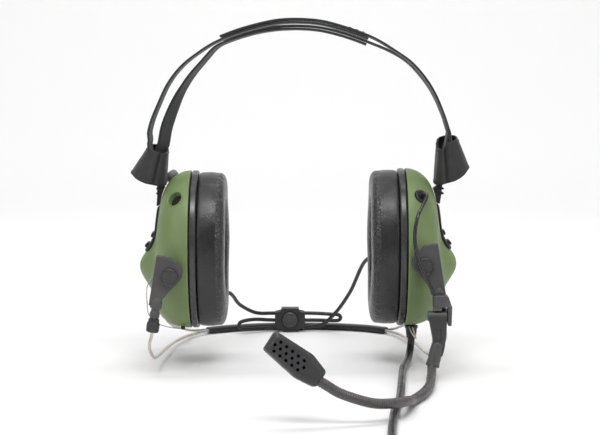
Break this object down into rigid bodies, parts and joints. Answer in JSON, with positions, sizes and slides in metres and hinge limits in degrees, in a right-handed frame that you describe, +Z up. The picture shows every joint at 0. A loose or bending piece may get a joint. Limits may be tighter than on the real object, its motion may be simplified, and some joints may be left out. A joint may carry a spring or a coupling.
{
  "type": "aviation headset",
  "caption": "Behind-the-neck aviation headset with domed green ear cups, padded ear seals, crossed head straps, wire neckband, swing-down boom microphone and coiled lead.",
  "frame": {"origin": "centre of the bounding box's bottom face, without the down lead's nodes", "axes": "+Z up, +Y toward the back of the head (the neckband), +X toward the boom's side; the headset stands on its neckband sleeve and gooseneck"},
  "size_m": [0.2024, 0.4474, 0.2062],
  "materials": {
    "cup_green": "matte",
    "rim_satin": "satin",
    "cushion_vinyl": "satin, fine grain",
    "foam": "open-cell foam",
    "speaker_metal": "satin",
    "board": "satin",
    "cell": "satin",
    "panel_black": "matte",
    "pivot_black": "satin",
    "hanger_black": "matte",
    "door_green": "matte",
    "button_rubber": "matte",
    "arm_grey": "matte, fine texture",
    "guard_leather": "matte, fine weave",
    "ferrule_black": "satin",
    "mic_foam_grey": "matte",
    "rubber_black": "satin",
    "boom_cable_black": "semi-gloss",
    "gooseneck_brown": "satin, ribbed",
    "mic_black": "matte",
    "button_black": "matte",
    "wire_steel": "satin",
    "cable_black": "satin",
    "keeper_black": "matte",
    "webbing": "woven",
    "plug_black": "satin"
  },
  "bodies": {
    "left_cup": {"left_shell": "cup_green", "left_base_plate": "rim_satin", "left_cushion": "cushion_vinyl", "left_foam_liner": "foam", "left_speaker": "speaker_metal", "left_circuit_board": "board", "left_battery": "cell", "left_face_panel": "panel_black", "left_pivot_front": "pivot_black", "left_pivot_rear": "pivot_black", "left_strap_hanger": "hanger_black", "ambient_mic": "mic_foam_grey"},
    "left_door": {"left_battery_door": "door_green"},
    "left_button_upper": {"left_button_upper": "button_rubber"},
    "left_button_lower": {"left_button_lower": "button_rubber"},
    "left_arm": {"left_arm_front": "arm_grey", "left_arm_rear": "arm_grey", "left_strap_guard": "guard_leather"},
    "neckband": {"left_ferrule_front": "ferrule_black", "left_ferrule_rear": "ferrule_black", "right_ferrule_front": "ferrule_black", "right_ferrule_rear": "ferrule_black", "neckband_sleeve": "rubber_black", "neckband_wire_front": "wire_steel", "neckband_wire_rear": "wire_steel", "crossover_cable": "cable_black", "cable_keeper": "keeper_black", "strap_front_left": "webbing", "strap_front_right": "webbing", "strap_rear_left": "webbing", "strap_rear_right": "webbing", "down_lead": "cable_black", "down_lead_coil": "cable_black", "lead_plug": "plug_black"},
    "right_cup": {"right_shell": "cup_green", "right_base_plate": "rim_satin", "right_cushion": "cushion_vinyl", "right_foam_liner": "foam", "right_speaker": "speaker_metal", "right_circuit_board": "board", "right_battery": "cell", "right_face_panel": "panel_black", "right_pivot_front": "pivot_black", "right_pivot_rear": "pivot_black", "right_strap_hanger": "hanger_black", "boom_cable_grommet": "rubber_black", "boom_cable": "boom_cable_black", "lead_strain_relief": "rubber_black"},
    "right_door": {"right_battery_door": "door_green"},
    "right_button_upper": {"right_button_upper": "button_rubber"},
    "right_button_lower": {"right_button_lower": "button_rubber"},
    "right_arm": {"right_arm_front": "arm_grey", "right_arm_rear": "arm_grey", "right_strap_guard": "guard_leather", "boom_clamp": "arm_grey"},
    "boom": {"boom_holder": "arm_grey", "boom_gooseneck": "gooseneck_brown", "mic_cover": "mic_black", "mic_housing": "mic_black"},
    "keeper_button": {"keeper_button": "button_black"}
  },
  "joints": [
    {"name": "left_arm_slide", "type": "slide", "parent": "neckband", "child": "left_arm", "axis": [0.1508, 0, 0.9886], "range_m": [0, 0.012], "deforming": ["strap_front_left", "strap_rear_left", "crossover_cable"]},
    {"name": "right_arm_slide", "type": "slide", "parent": "neckband", "child": "right_arm", "axis": [-0.1517, 0, 0.9884], "range_m": [0, 0.012], "deforming": ["strap_front_right", "strap_rear_right", "down_lead"]},
    {"name": "left_cup_pivot", "type": "hinge", "parent": "left_arm", "child": "left_cup", "pos_m": [-0.0751, 0.028, 0.0569], "axis": [0, 1, 0], "range_deg": [-8, 8], "deforming": ["left_strap_guard"]},
    {"name": "right_cup_pivot", "type": "hinge", "parent": "right_arm", "child": "right_cup", "pos_m": [0.0719, 0.028, 0.0631], "axis": [0, 1, 0], "range_deg": [-8, 8], "deforming": ["right_strap_guard", "boom_cable"]},
    {"name": "boom_swing", "type": "hinge", "parent": "right_arm", "child": "boom", "pos_m": [0.0786, -0.0222, 0.0356], "axis": [-1, 0, 0], "range_deg": [0, 90]},
    {"name": "keeper_button_press", "type": "slide", "parent": "neckband", "child": "keeper_button", "axis": [0, 1, 0], "range_m": [0, 0.0009], "stiffness_N_per_m": 400, "springref_m": -0.0006},
    {"name": "left_battery_door_turn", "type": "hinge", "parent": "left_cup", "child": "left_door", "pos_m": [-0.09643, 0.028, 0.0579], "axis": [-1, 0, 0], "range_deg": [0, 90]},
    {"name": "left_button_upper_press", "type": "slide", "parent": "left_cup", "child": "left_button_upper", "axis": [0.942, 0, -0.3357], "range_m": [0, 0.0008], "stiffness_N_per_m": 400, "springref_m": -0.0006},
    {"name": "left_button_lower_press", "type": "slide", "parent": "left_cup", "child": "left_button_lower", "axis": [0.8002, 0, -0.5998], "range_m": [0, 0.0008], "stiffness_N_per_m": 400, "springref_m": -0.0006},
    {"name": "right_battery_door_turn", "type": "hinge", "parent": "right_cup", "child": "right_door", "pos_m": [0.09423, 0.028, 0.0593], "axis": [1, 0, 0], "range_deg": [0, 90]},
    {"name": "right_button_upper_press", "type": "slide", "parent": "right_cup", "child": "right_button_upper", "axis": [-0.942, 0, -0.3357], "range_m": [0, 0.0008], "stiffness_N_per_m": 400, "springref_m": -0.0006},
    {"name": "right_button_lower_press", "type": "slide", "parent": "right_cup", "child": "right_button_lower", "axis": [-0.8002, 0, -0.5998], "range_m": [0, 0.0008], "stiffness_N_per_m": 400, "springref_m": -0.0006}
  ]
}
